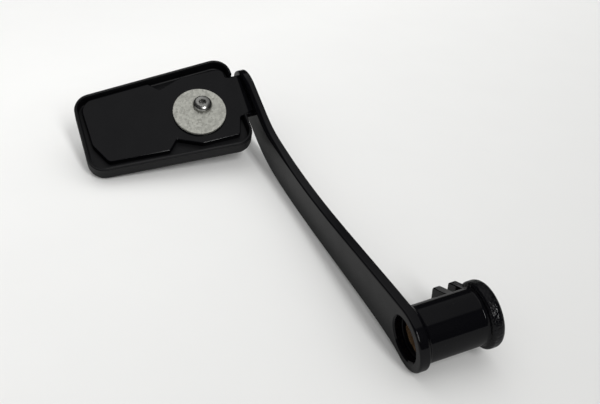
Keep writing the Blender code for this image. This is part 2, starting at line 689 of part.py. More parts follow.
def make_washer():
    edge = WASHER_EDGE
    outline_centre = (SCREW_X + WASHER_OFFSET_X, SCREW_Y + WASHER_OFFSET_Y)
    profile = [(WASHER_FOOT_Z, 0.0), (WASHER_FOOT_Z, WASHER_RADIUS - edge),
               (WASHER_FOOT_Z + edge, WASHER_RADIUS), (WASHER_TOP_Z - edge, WASHER_RADIUS),
               (WASHER_TOP_Z, WASHER_RADIUS - edge), (WASHER_TOP_Z, 0.0)]
    washer = turned("pad_washer", profile, outline_centre, axis="Z", steps=72)
    past = WASHER_THICKNESS
    radius = SHANK_RADIUS + GAP
    hole = [(WASHER_FOOT_Z - past, 0.0), (WASHER_FOOT_Z - past, radius),
            (WASHER_TOP_Z + past, radius), (WASHER_TOP_Z + past, 0.0)]
    cut(washer, turned("washer_hole", hole, (SCREW_X, SCREW_Y), axis="Z", steps=32))
    return washer


def make_screw():
    """A button head socket screw: domed head, hexagonal socket, plain shank."""
    seat = HEAD_SEAT_Z
    crown = HEAD_HEIGHT - HEAD_RIM
    dome = []
    for k in range(8):
        share = k / 7
        radius = HEAD_RADIUS + (HEAD_FLAT_RADIUS - HEAD_RADIUS) * share
        height = crown * math.sqrt(1 - (1 - share) ** 2)
        dome.append((seat + HEAD_RIM + height, radius))
    tip = seat - SHANK_LENGTH
    profile = [(tip, 0.0), (tip, SHANK_RADIUS - SHANK_LEAD), (tip + SHANK_LEAD, SHANK_RADIUS),
               (seat, SHANK_RADIUS), (seat, HEAD_RADIUS)] + dome + [(seat + HEAD_HEIGHT, 0.0)]
    screw = turned("pad_screw", profile, (SCREW_X, SCREW_Y), axis="Z", steps=40)
    corner = SOCKET_ACROSS_FLATS / math.sqrt(3)
    hexagon = [along((SCREW_X, SCREW_Y), 30.0 + 60.0 * k, corner) for k in range(6)]
    top = seat + HEAD_HEIGHT
    cut(screw, prism("socket", hexagon, top - SOCKET_DEPTH, top + SOCKET_DEPTH))
    return screw


# Bushes

def make_bush(name, start):
    """A plain bronze bush with broken edges, starting at x."""
    outer = BORE_RADIUS - GAP
    inner = outer - BUSH_WALL
    end = start + BUSH_LENGTH
    c = BUSH_CHAMFER
    profile = [(start, inner + c), (start, outer - c), (start + c, outer), (end - c, outer),
               (end, outer - c), (end, inner + c), (end - c, inner), (start + c, inner)]
    return turned(name, profile, steps=48)


# Finish and placing

def paint(obj, colour, roughness, metallic):
    """Give an object its own plain material and smooth round faces."""
    material = bpy.data.materials.new(obj.name)
    material.use_nodes = True
    shader = material.node_tree.nodes["Principled BSDF"]
    shader.inputs["Base Color"].default_value = (*colour, 1.0)
    shader.inputs["Roughness"].default_value = roughness
    shader.inputs["Metallic"].default_value = metallic
    obj.data.materials.clear()
    obj.data.materials.append(material)
    obj.data.shade_smooth()
    obj.data.set_sharp_from_angle(angle=math.radians(32.0))


def lay_down(pieces):
    """Hang the pieces on one empty and lay it down, the lowest point on the ground and the
    middle of the footprint over the origin."""
    stand = bpy.data.objects.new("rest_pose", None)
    bpy.context.scene.collection.objects.link(stand)
    turn = Euler((math.radians(REST_ANGLE_X), math.radians(REST_ANGLE_Y), 0.0), "XYZ").to_matrix()
    stand.rotation_euler = turn.to_euler("XYZ")
    corners = [turn @ vertex.co for piece in pieces for vertex in piece.data.vertices]
    low = Vector([min(point[i] for point in corners) for i in range(3)])
    high = Vector([max(point[i] for point in corners) for i in range(3)])
    stand.location = (-(low.x + high.x) / 2, -(low.y + high.y) / 2, -low.z)
    for piece in pieces:
        piece.parent = stand
    bpy.context.view_layer.update()


def build():
    for obj in list(bpy.data.objects):
        bpy.data.objects.remove(obj)
    black = (0.012, 0.012, 0.014)
    pieces = []
    lever = make_lever()
    paint(lever, black, 0.28, 0.0)
    pieces.append(lever)
    pad = make_pad()
    paint(pad, (0.018, 0.018, 0.020), 0.45, 0.0)
    pieces.append(pad)
    insert = make_insert()
    paint(insert, (0.45, 0.44, 0.42), 0.45, 1.0)
    pieces.append(insert)
    washer = make_washer()
    paint(washer, (0.52, 0.53, 0.53), 0.42, 1.0)
    pieces.append(washer)
    screw = make_screw()
    paint(screw, (0.60, 0.60, 0.60), 0.28, 1.0)
    pieces.append(screw)
    bronze = (0.50, 0.32, 0.17)
    outboard = make_bush("outboard_bush", BUSH_RECESS)
    inboard = make_bush("inboard_bush", HUB_LENGTH - BUSH_RECESS - BUSH_LENGTH)
    for bush in (outboard, inboard):
        paint(bush, bronze, 0.35, 1.0)
        pieces.append(bush)
    lay_down(pieces)


build()
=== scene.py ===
# The looks of a motorcycle brake pedal: finely shaped pieces over the CAD solids, their finishes,
# a pale bench top, soft studio light and the camera.
#
# The pieces are drawn in the pedal's own axes and then laid down as the CAD model lies.
# In the pedal's axes X runs along the hub from the eye's outboard face towards the engine,
# the pad lies at -X, Y runs from the hub to the pad, and Z points away from the foot side.

import math

import bmesh
import bpy
from mathutils import Euler, Matrix, Vector


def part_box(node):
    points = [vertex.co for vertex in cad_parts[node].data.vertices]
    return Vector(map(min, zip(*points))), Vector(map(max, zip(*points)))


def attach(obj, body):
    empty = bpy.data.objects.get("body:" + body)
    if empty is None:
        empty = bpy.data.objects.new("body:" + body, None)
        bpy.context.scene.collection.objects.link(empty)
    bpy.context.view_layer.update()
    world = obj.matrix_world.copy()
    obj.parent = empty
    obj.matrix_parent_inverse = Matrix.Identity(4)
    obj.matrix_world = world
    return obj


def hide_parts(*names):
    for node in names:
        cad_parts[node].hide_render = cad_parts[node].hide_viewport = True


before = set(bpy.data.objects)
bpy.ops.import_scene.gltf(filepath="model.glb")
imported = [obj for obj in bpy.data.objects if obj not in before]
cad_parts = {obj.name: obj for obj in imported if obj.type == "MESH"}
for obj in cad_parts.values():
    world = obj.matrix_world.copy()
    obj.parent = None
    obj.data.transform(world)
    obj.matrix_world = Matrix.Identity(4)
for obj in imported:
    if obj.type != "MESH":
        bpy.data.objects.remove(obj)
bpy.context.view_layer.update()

MM = 0.001

# Clearance between touching pieces, and how far a cutting tool reaches past the face that it opens
GAP = 0.3 * MM
CUT_PAST = 1.0 * MM

# Eye and arm
EYE_RADIUS = 18.7 * MM
EYE_THICKNESS = 7.4 * MM
EYE_BACK_STEP = 0.25 * MM
EYE_BACK_ROUND = 2.8 * MM
ARM_THICKNESS = 6.2 * MM
ARM_EDGE = 1.2 * MM
ARM_DROP = 106.4 * MM
ARM_PAD_WIDTH = 29.4 * MM
BEND_REACH = 207.0 * MM
BEND_INNER_RADIUS = 65.0 * MM
BEND_ANGLE = 22.0
UPPER_LEAVE_ANGLE = 57.0
UPPER_LEAVE_PULL = 81.0 * MM
UPPER_BEND_PULL = 73.0 * MM
LOWER_LEAVE_ANGLE = -100.0
LOWER_LEAVE_PULL = 25.0 * MM
LOWER_BEND_PULL = 60.0 * MM
ARM_END_REACH = 258.5 * MM
ARM_END_RADIUS = 27.0 * MM
ARM_TIP_RADIUS = 9.0 * MM

# Broad rounding of the arm's upper outboard edge beside the pad
BROAD_EDGE = 3.8 * MM
BROAD_START_Y = 150.0 * MM
BROAD_FULL_Y = 200.0 * MM
BROAD_LAST_Y = 236.0 * MM
BROAD_FADE = 9.0 * MM

# Hub tube, collar and bore
TUBE_RADIUS = 16.0 * MM
TUBE_FILLET = 1.6 * MM
HUB_LENGTH = 50.8 * MM
COLLAR_RADIUS = 19.05 * MM
COLLAR_WIDTH = 8.6 * MM
COLLAR_FRONT_ROUND = 2.2 * MM
COLLAR_END_ROUND = 3.9 * MM
BORE_RADIUS = 12.7 * MM
MOUTH_CHAMFER = 0.9 * MM

# Bronze bushes pressed into the bore
BUSH_WALL = 1.4 * MM
BUSH_LENGTH = 16.0 * MM
BUSH_RECESS = 4.5 * MM
BUSH_CHAMFER = 0.4 * MM

# Clevis ears
EAR_START = 30.0 * MM
EAR_THICKNESS = 4.5 * MM
EAR_SLOT = 5.3 * MM
EAR_ROOT_ANGLE = 34.0
EAR_CORNER = (24.4 * MM, -7.4 * MM)
EAR_CORNER_RADIUS = 3.0 * MM
EAR_PIN = (11.0 * MM, -23.0 * MM)
EAR_TIP_RADIUS = 6.3 * MM
EAR_PIN_RADIUS = 3.0 * MM
EAR_EDGE = 0.7 * MM

# Pad: a tapered tray, wide at the arm and narrower at its free end
PAD_RIM_DROP = 99.2 * MM
PAD_GAP_TO_ARM = 5.0 * MM
PAD_LENGTH = 117.0 * MM
PAD_END_SLANT = 1.9 * MM
PAD_ARM_SLANT = 1.4 * MM
PAD_CENTRE_Y = 229.3 * MM
PAD_WIDTH_AT_ARM = 76.4 * MM
PAD_WIDTH_AT_END = 62.4 * MM
PAD_CORNER_RADIUS = 12.5 * MM
PAD_WALL = 2.3 * MM
PAD_LIP_HEIGHT = 2.0 * MM
PAD_LIP_STEP = 0.45 * MM
PAD_LIP_ROUND = 0.86 * MM
PAD_LIP_FOOT_ROUND = 0.4 * PAD_LIP_STEP
PAD_FLOOR = 7.0 * MM
PAD_FOOT_ROUND = 5.0 * MM
PAD_FLOOR_ROUND = 1.2 * MM
GATE_CORNER = 1.0 * MM

# Tread ribs on the foot side of the pad
RIB_COUNT = 5
RIB_WIDTH = 6.4 * MM
RIB_PITCH = 10.6 * MM
RIB_HEIGHT = 3.0 * MM
RIB_EDGE = 0.8 * MM
RIB_END_MARGIN = 9.0 * MM

# Pad plate of the lever
PLATE_DEPTH_IN_TRAY = 3.5 * MM
PLATE_THICKNESS = 4.5 * MM
PLATE_EDGE = 0.7 * MM
PLATE_FAR_CLEARANCE = 0.7 * MM
PLATE_NEAR_CLEARANCE = 5.2 * MM
PLATE_END_CLEARANCE = 3.6 * MM
PLATE_FAR_CORNER = 11.0 * MM
PLATE_END_CORNER = 8.0 * MM
PLATE_CHAMFER = (7.5 * MM, 15.5 * MM)
PLATE_CHAMFER_CORNER = 4.0 * MM
NOTCH_X = -59.0 * MM
NOTCH_DEPTH = 8.0 * MM
NOTCH_STEEP = 7.0 * MM
NOTCH_SLOPE = 17.0 * MM
NOTCH_FAR_ROOT = 1.0 * MM
NOTCH_FAR_SHOULDER = 3.0 * MM
NOTCH_NEAR_ROOT = 1.4 * MM
NOTCH_NEAR_SHOULDER = 2.0 * MM
NOTCH_SLOPE_CORNER = 4.0 * MM
PLATE_INNER_X = -9.5 * MM
PLATE_INNER_FAR_Y = 259.6 * MM
PLATE_INNER_NEAR_Y = 201.6 * MM
PLATE_INNER_CORNER = 5.0 * MM
PLATE_NECK_SLOPE = 5.0 * MM
PLATE_NECK_CORNER = 2.0 * MM
NECK_NEAR_Y = 216.0 * MM
NECK_FAR_Y = 251.0 * MM
NECK_FAR_CORNER = 1.0 * MM
NECK_FILLET_NEAR = (7.6 * MM, 5.0 * MM)
NECK_FILLET_FAR = (4.2 * MM, 1.6 * MM)
NECK_FOOT_FILLET = (2.6 * MM, 2.6 * MM)
NECK_SINK = 0.03 * MM
NECK_CLEARANCE = 1.0 * MM

# Screw and washer
SCREW_PLACE = (-33.7 * MM, 230.8 * MM)
PLATE_HOLE_RADIUS = 8.0 * MM
WASHER_RADIUS = 19.05 * MM
WASHER_THICKNESS = 2.0 * MM
WASHER_OFFSET = (-3.4 * MM, -4.0 * MM)
WASHER_EDGE = 0.35 * MM
SHANK_RADIUS = 3.97 * MM
SHANK_LENGTH = 12.7 * MM
SHANK_LEAD = 0.6 * MM
HEAD_RADIUS = 6.95 * MM
HEAD_HEIGHT = 4.2 * MM
HEAD_RIM = 0.8 * MM
HEAD_RIM_ROUND = 0.25 * MM
HEAD_FLAT_RADIUS = 2.9 * MM
SOCKET_ACROSS_FLATS = 4.76 * MM
SOCKET_DEPTH = 2.6 * MM
SOCKET_CORNER = SOCKET_ACROSS_FLATS / math.sqrt(3)

# The socket's chamfered mouth: how deep and how high the cutting cone reaches, and how far inside
# and outside the hexagon's corners; then the drill's cone at the socket's foot
MOUTH_CONE_DEPTH = 0.3 * MM
MOUTH_CONE_RISE = 0.2 * MM
MOUTH_CONE_INSIDE = 0.2 * MM
MOUTH_CONE_OUTSIDE = 0.25 * MM
DRILL_RADIUS = 0.46 * SOCKET_ACROSS_FLATS
DRILL_DEPTH = 0.9 * MM
DRILL_START = 0.1 * MM

# Threaded insert in the pad
INSERT_HUB_RADIUS = 6.5 * MM
INSERT_FLANGE_RADIUS = 10.5 * MM
INSERT_FLANGE_THICKNESS = 1.6 * MM
INSERT_HEIGHT = 5.4 * MM
INSERT_HUB_ABOVE_FLANGE = 2.0 * MM

# How the pedal lies at rest on its foot side
REST_TURN = [math.radians(angle) for angle in (29.04, -8.05, 0.0)]

# Heights in the pedal's axes that several pieces share
RIM_Z = -PAD_RIM_DROP
PLATE_TOP_Z = RIM_Z - PLATE_DEPTH_IN_TRAY
PLATE_FOOT_Z = PLATE_TOP_Z - PLATE_THICKNESS
TRAY_FLOOR_Z = PLATE_FOOT_Z - GAP
PAD_FOOT_Z = TRAY_FLOOR_Z - PAD_FLOOR
WASHER_FOOT_Z = PLATE_TOP_Z + GAP
WASHER_TOP_Z = WASHER_FOOT_Z + WASHER_THICKNESS
HEAD_SEAT_Z = WASHER_TOP_Z + GAP
PAD_ARM_X = -PAD_GAP_TO_ARM
PAD_END_X = PAD_ARM_X - PAD_LENGTH

# Points closer than this are one point. Faces that turn by less than the first angle, in degrees,
# are one face, and edges that turn by less than the second are shaded smooth
WELD = 0.002 * MM
FLAT_ANGLE = 0.2
SMOOTH_ANGLE = 32.0

# Camera, in metres and degrees
CAMERA_PLACE = (-0.1646, -0.4300, 0.3195)
CAMERA_ANGLES = (57.684, -4.342, -21.617)
CAMERA_LENS = 52.5

# The studio's bright ceiling. It leans back along the camera's heading on the ground, fades out
# between two heights, and loses a share of its light between two places on the right.
CAMERA_HEADING = (0.368, 0.930)
CEILING_LEAN = 0.35
CEILING_EDGE = (0.85, 0.79)
CEILING_DIMS_RIGHT = (0.28, 0.06)
CEILING_DIM_SHARE = 0.5
WORLD_DARK = 0.04
WORLD_CEILING = 0.88

# The bench top's size in metres, then the light painted into its colour: how much faster the
# painted light grows to the back than to the left, and where it starts and ends
BENCH_SIZE = 60.0
BENCH_PAINTED_LIGHT_BACK_SHARE = 2.5
BENCH_PAINTED_LIGHT_RANGE = (-0.68, 0.75)

# How far the black paint has run into the hub's mouth and how soft its edge is, and the same
# for the place where the collar's rough cast begins
PAINT_RUNS_IN = 7.5 * MM
PAINT_EDGE = 0.5 * MM
ROUGH_CAST_X = HUB_LENGTH - COLLAR_WIDTH
ROUGH_CAST_FADE = 1.5 * MM


# Lines

def arc(centre, radius, start, end, steps=12):
    """Points on an arc, both ends included, angles in degrees."""
    points = []
    for k in range(steps + 1):
        angle = math.radians(start + (end - start) * k / steps)
        points.append((centre[0] + radius * math.cos(angle), centre[1] + radius * math.sin(angle)))
    return points


def bezier(start, start_pull, end_pull, end, steps=40):
    """Points on a cubic curve, both ends included."""
    points = []
    for k in range(steps + 1):
        t = k / steps
        weights = ((1 - t) ** 3, 3 * t * (1 - t) ** 2, 3 * t * t * (1 - t), t ** 3)
        corners = (start, start_pull, end_pull, end)
        points.append(tuple(sum(w * c[i] for w, c in zip(weights, corners)) for i in (0, 1)))
    return points


def polar(radius, angle):
    """A point at an angle in degrees from the first axis."""
    return (radius * math.cos(math.radians(angle)), radius * math.sin(math.radians(angle)))


def along(point, angle, distance):
    """The point moved by a distance in the direction of an angle."""
    step = polar(distance, angle)
    return (point[0] + step[0], point[1] + step[1])


def rounded(corners, steps=10):
    """A closed line through corners (x, y, radius), each rounded by its own radius."""
    line = []
    for i, (x, y, radius) in enumerate(corners):
        corner = Vector((x, y))
        before = (Vector(corners[i - 1][:2]) - corner).normalized()
        after = (Vector(corners[(i + 1) % len(corners)][:2]) - corner).normalized()
        if radius <= 0:
            line.append((x, y))
            continue
        half = before.angle(after) / 2
        centre = corner + (before + after).normalized() * radius / math.sin(half)
        first = corner + before * radius / math.tan(half) - centre
        turn = math.copysign(math.pi - 2 * half, -before.cross(after))
        for k in range(steps + 1):
            line.append(tuple(centre + Matrix.Rotation(turn * k / steps, 2) @ first))
    return line


# Hand tools

def pick(obj):
    """Select one object alone and make it active."""
    if bpy.context.object and bpy.context.object.mode != "OBJECT":
        bpy.ops.object.mode_set(mode="OBJECT")
    bpy.ops.object.select_all(action="DESELECT")
    obj.select_set(True)
    bpy.context.view_layer.objects.active = obj


def open_mesh(obj):
    """Go into edit mode with everything selected."""
    pick(obj)
    bpy.ops.object.mode_set(mode="EDIT")
    bpy.ops.mesh.select_all(action="SELECT")


def close_mesh():
    """Merge doubles, turn the faces outwards and leave edit mode."""
    bpy.ops.mesh.select_all(action="SELECT")
    bpy.ops.mesh.remove_doubles(threshold=WELD)
    bpy.ops.mesh.normals_make_consistent(inside=False)
    bpy.ops.object.mode_set(mode="OBJECT")


def choose(obj, kind, wanted):
    """In edit mode, select the faces or edges that pass a test, and nothing else."""
    bpy.ops.mesh.select_mode(type="FACE" if kind == "faces" else "EDGE")
    bpy.ops.mesh.select_all(action="DESELECT")
    data = bmesh.from_edit_mesh(obj.data)
    for item in getattr(data, kind):
        item.select_set(wanted(item))
    bmesh.update_edit_mesh(obj.data)


def put(obj, place):
    """Move an object to its place and leave that place in its mesh."""
    pick(obj)
    obj.matrix_world = place
    bpy.ops.object.transform_apply(location=True, rotation=True, scale=True)


def apply(obj, kind, **settings):
    """Add a modifier to an object and apply it."""
    pick(obj)
    modifier = obj.modifiers.new(kind.lower(), kind)
    for key, value in settings.items():
        setattr(modifier, key, value)
    bpy.ops.object.modifier_apply(modifier=modifier.name)


def drawn(name, points, closed=True):
    """A line drawn as a curve on the ground plane and made a mesh."""
    curve = bpy.data.curves.new(name, "CURVE")
    curve.dimensions = "3D"
    spline = curve.splines.new("POLY")
    spline.points.add(len(points) - 1)
    for point, (u, v) in zip(spline.points, points):
        point.co = (u, v, 0.0, 1.0)
    spline.use_cyclic_u = closed
    obj = bpy.data.objects.new(name, curve)
    bpy.context.scene.collection.objects.link(obj)
    pick(obj)
    bpy.ops.object.convert(target="MESH")
    return bpy.context.object


# Turns the drawing plane's own axes to the pedal's: a slab along X, and a lathe along Z
STAND_ALONG_X = Matrix(((0, 0, 1, 0), (1, 0, 0, 0), (0, 1, 0, 0), (0, 0, 0, 1)))
LATHE_ALONG_Z = Matrix(((0, 1, 0, 0), (0, 0, 1, 0), (1, 0, 0, 0), (0, 0, 0, 1)))


def slab(name, line, low, high, axis="Z"):
    """Fill a closed line and extrude it from low to high."""
    obj = drawn(name, line)
    open_mesh(obj)
    bpy.ops.mesh.edge_face_add()
    bpy.ops.transform.translate(value=(0.0, 0.0, low))
    bpy.ops.mesh.extrude_region_move(TRANSFORM_OT_translate={"value": (0.0, 0.0, high - low)})
    close_mesh()
    put(obj, STAND_ALONG_X if axis == "X" else Matrix())
    return obj


def lathe(name, section, centre=(0.0, 0.0), axis="X", steps=128, closed=False):
    """Spin a half section of (along, radius) points about an axis through centre."""
    obj = drawn(name, section, closed)
    open_mesh(obj)
    bpy.ops.mesh.spin(steps=steps, angle=math.tau, center=(0.0, 0.0, 0.0), axis=(1.0, 0.0, 0.0))
    close_mesh()
    if axis == "X":
        put(obj, Matrix.Translation((0.0, *centre)))
    else:
        put(obj, Matrix.Translation((*centre, 0.0)) @ LATHE_ALONG_Z)
    return obj


def round_edges(obj, wanted, radius, segments=4):
    """Round the edges that pass a test."""
    open_mesh(obj)
    choose(obj, "edges", wanted)
    bpy.ops.mesh.bevel(offset=radius, offset_type="OFFSET", segments=segments, affect="EDGES")
    close_mesh()


def inward(line):
    """The inward mitre of each point, so that moving by it moves both edges in by one unit."""
    points = [Vector(point) for point in line]
    area = sum(a.cross(b) for a, b in zip(points, points[1:] + points[:1]))
    mitres = []
    for i, point in enumerate(points):
        edges = (point - points[i - 1], points[(i + 1) % len(points)] - point)
        normals = [Vector((-edge.y, edge.x)).normalized() * math.copysign(1.0, area) for edge in edges]
        mitres.append((normals[0] + normals[1]) / (1 + normals[0].dot(normals[1])))
    return mitres


def rimmed_slab(name, line, low, high, low_radii, high_radii, steps=6):
    """A slab along X whose rims are rounded by a radius of their own at each point of the line."""
    mitres = inward(line)
    rings = []
    for face, way, radii in ((low, 1.0, low_radii), (high, -1.0, high_radii)):
        rim = []
        for k in range(steps + 1):
            lean = math.pi / 2 * k / steps
            shares = [(r * (1 - math.sin(lean)), face + way * r * (1 - math.cos(lean))) for r in radii]
            rim.append([(x, point[0] + mitre.x * inset, point[1] + mitre.y * inset)
                        for point, mitre, (inset, x) in zip(line, mitres, shares)])
        rings += rim if way > 0 else rim[::-1]
    data = bmesh.new()
    made = [[data.verts.new(point) for point in ring] for ring in rings]
    for ring, following in zip(made, made[1:]):
        for i in range(len(ring)):
            data.faces.new((ring[i - 1], ring[i], following[i], following[i - 1]))
    data.faces.new(made[0])
    data.faces.new(made[-1])
    bmesh.ops.recalc_face_normals(data, faces=data.faces)
    obj = bpy.data.objects.new(name, bpy.data.meshes.new(name))
    data.to_mesh(obj.data)
    data.free()
    bpy.context.scene.collection.objects.link(obj)
    return obj


def rim_at(axis, *levels):
    """A test for the edges that lie flat at one of the levels of an axis."""
    def wanted(edge):
        return any(all(abs(v.co[axis] - level) < WELD for v in edge.verts) for level in levels)
    return wanted


def close_seams(obj):
    """Close hairline seams and split the faces into triangles, ready for a join or a cut."""
    open_mesh(obj)
    bpy.ops.mesh.remove_doubles(threshold=WELD)
    bpy.ops.mesh.dissolve_degenerate(threshold=WELD)
    bpy.ops.mesh.quads_convert_to_tris()
    bpy.ops.object.mode_set(mode="OBJECT")


def combine(target, tool, operation):
    """Join or cut with a second solid, which is used up."""
    close_seams(target)
    close_seams(tool)
    apply(target, "BOOLEAN", operation=operation, solver="EXACT", object=tool)
    bpy.data.objects.remove(tool)
    close_seams(target)


def join(target, tool):
    combine(target, tool, "UNION")


def cut(target, tool):
    combine(target, tool, "DIFFERENCE")


def smooth(obj):
    """Merge the triangles of flat faces, and shade the round ones smooth with flat faces kept flat."""
    open_mesh(obj)
    bpy.ops.mesh.dissolve_limited(angle_limit=math.radians(FLAT_ANGLE))
    pick(obj)
    bpy.ops.object.shade_smooth_by_angle(angle=math.radians(SMOOTH_ANGLE))
    apply(obj, "WEIGHTED_NORMAL", keep_sharp=True, weight=100)


# Lever

def arm_line():
    """The eye and the curved arm seen along the hub, as (y, z) points."""
    pad_top = -ARM_DROP + ARM_PAD_WIDTH / 2
    pad_foot = -ARM_DROP - ARM_PAD_WIDTH / 2
    bend_centre = (BEND_REACH, pad_top + BEND_INNER_RADIUS)
    bend_start = -90.0 - BEND_ANGLE
    upper_bend = arc(bend_centre, BEND_INNER_RADIUS, -90.0, bend_start, 16)
    lower_bend = arc(bend_centre, BEND_INNER_RADIUS + ARM_PAD_WIDTH, bend_start, -90.0, 16)
    upper_eye = polar(EYE_RADIUS, UPPER_LEAVE_ANGLE)
    lower_eye = polar(EYE_RADIUS, LOWER_LEAVE_ANGLE)
    upper_edge = bezier(upper_bend[-1], along(upper_bend[-1], 180.0 - BEND_ANGLE, UPPER_BEND_PULL),
                        along(upper_eye, UPPER_LEAVE_ANGLE - 90.0, UPPER_LEAVE_PULL), upper_eye)
    lower_edge = bezier(lower_eye, along(lower_eye, LOWER_LEAVE_ANGLE + 90.0, LOWER_LEAVE_PULL),
                        along(lower_bend[0], 180.0 - BEND_ANGLE, LOWER_BEND_PULL), lower_bend[0])
    eye = arc((0.0, 0.0), EYE_RADIUS, UPPER_LEAVE_ANGLE, 360.0 + LOWER_LEAVE_ANGLE, 72)
    tip_centre = (ARM_END_REACH - ARM_TIP_RADIUS, pad_foot + ARM_TIP_RADIUS)
    end_centre_z = pad_top - ARM_END_RADIUS
    rise = tip_centre[1] - end_centre_z
    reach = math.sqrt((ARM_END_RADIUS - ARM_TIP_RADIUS) ** 2 - rise ** 2)
    end_angle = math.degrees(math.atan2(rise, reach))
    tip = arc(tip_centre, ARM_TIP_RADIUS, -90.0, end_angle, 20)
    end = arc((tip_centre[0] - reach, end_centre_z), ARM_END_RADIUS, end_angle, 90.0, 20)
    parts = (eye[:-1], lower_edge[:-1], lower_bend, tip, end[1:], upper_bend, upper_edge[1:-1])
    return [point for part in parts for point in part]


def broad_edge(y, z):
    """The rim radius of the arm's upper outboard edge, which widens beside the pad."""
    widens = (y - BROAD_START_Y) / (BROAD_FULL_Y - BROAD_START_Y)
    narrows = (ARM_END_REACH - y) / (ARM_END_REACH - BROAD_LAST_Y)
    leaves = (z + ARM_DROP) / BROAD_FADE
    return ARM_EDGE + (BROAD_EDGE - ARM_EDGE) * max(0.0, min(1.0, widens, narrows, leaves))


def make_arm():
    """The flat arm with its eye, its upper outboard rim broader beside the pad."""
    line = arm_line()
    outboard = [broad_edge(y, z) for y, z in line]
    return rimmed_slab("pedal_lever_forging", line, 0.0, ARM_THICKNESS, outboard, [ARM_EDGE] * len(line))


def hub_section():
    """The back of the eye, the hub tube and its collar as (x, radius) points, solid to the axis."""
    start = ARM_THICKNESS / 2
    boss = EYE_RADIUS - EYE_BACK_STEP
    boss_centre = (EYE_THICKNESS - EYE_BACK_ROUND, boss - EYE_BACK_ROUND)
    rise = TUBE_RADIUS + TUBE_FILLET - boss_centre[1]
    reach = math.sqrt((EYE_BACK_ROUND + TUBE_FILLET) ** 2 - rise ** 2)
    lean = math.degrees(math.atan2(rise, reach))
    fillet_centre = (boss_centre[0] + reach, TUBE_RADIUS + TUBE_FILLET)
    section = [(start, 0.0), (start, boss)]
    section += arc(boss_centre, EYE_BACK_ROUND, 90.0, lean, 10)
    section += arc(fillet_centre, TUBE_FILLET, 180.0 + lean, 270.0, 8)
    front_centre = (HUB_LENGTH - COLLAR_WIDTH + COLLAR_FRONT_ROUND, COLLAR_RADIUS - COLLAR_FRONT_ROUND)
    rise = TUBE_RADIUS + TUBE_FILLET - front_centre[1]
    reach = math.sqrt((COLLAR_FRONT_ROUND + TUBE_FILLET) ** 2 - rise ** 2)
    lean = math.degrees(math.atan2(rise, reach))
    fillet_centre = (front_centre[0] - reach, TUBE_RADIUS + TUBE_FILLET)
    section += arc(fillet_centre, TUBE_FILLET, 270.0, 360.0 - lean, 8)
    section += arc(front_centre, COLLAR_FRONT_ROUND, 180.0 - lean, 90.0, 8)
    end_centre = (HUB_LENGTH - COLLAR_END_ROUND, COLLAR_RADIUS - COLLAR_END_ROUND)
    section += arc(end_centre, COLLAR_END_ROUND, 90.0, 0.0, 12)
    return section + [(HUB_LENGTH, 0.0)]


def bore_tool():
    """The through bore with a chamfered mouth at each end."""
    end = HUB_LENGTH + CUT_PAST
    mouth = BORE_RADIUS + MOUTH_CHAMFER + CUT_PAST
    section = [(-CUT_PAST, 0.0), (-CUT_PAST, mouth), (MOUTH_CHAMFER, BORE_RADIUS),
               (HUB_LENGTH - MOUTH_CHAMFER, BORE_RADIUS), (end, mouth), (end, 0.0)]
    return lathe("bore", section)


def ear_line():
    """One clevis ear seen along the hub: from the tube to a corner, then down to the pin."""
    corner = Vector(EAR_CORNER)
    pin = Vector(EAR_PIN)
    to_pin = math.degrees(math.atan2(pin.y, pin.x))
    lower_tangent = to_pin - math.degrees(math.acos((TUBE_RADIUS - EAR_TIP_RADIUS) / pin.length))
    reach = corner - pin
    lean = math.degrees(math.acos(EAR_TIP_RADIUS / reach.length))
    side = math.degrees(math.atan2(reach.y, reach.x)) - lean
    line = rounded([
        (0.0, 0.0, 0.0),
        (*polar(TUBE_RADIUS - GAP, EAR_ROOT_ANGLE), 0.0),
        (*EAR_CORNER, EAR_CORNER_RADIUS),
        (*along(EAR_PIN, side, EAR_TIP_RADIUS), 0.0),
    ])[:-1]
    line += arc(EAR_PIN, EAR_TIP_RADIUS, side, lower_tangent, 28)
    return line + [polar(TUBE_RADIUS - GAP, lower_tangent)]


def add_ears(lever):
    """Two clevis ears on the tube with one pin hole through both."""
    second = EAR_START + EAR_THICKNESS + EAR_SLOT
    for start in (EAR_START, second):
        end = start + EAR_THICKNESS
        ear = slab("ear", ear_line(), start, end, axis="X")
        round_edges(ear, rim_at(0, start, end), EAR_EDGE, 3)
        join(lever, ear)
    low, high = EAR_START - 2 * CUT_PAST, second + EAR_THICKNESS + 2 * CUT_PAST
    hole = [(low, 0.0), (low, EAR_PIN_RADIUS), (high, EAR_PIN_RADIUS), (high, 0.0)]
    cut(lever, lathe("pin_hole", hole, EAR_PIN, steps=48))


def pad_edge_y(x, side):
    """The pad's outer edge at x, side +1 for its far edge and -1 for its near edge."""
    share = (PAD_ARM_X - x) / PAD_LENGTH
    width = PAD_WIDTH_AT_ARM + (PAD_WIDTH_AT_END - PAD_WIDTH_AT_ARM) * share
    return PAD_CENTRE_Y + side * width / 2


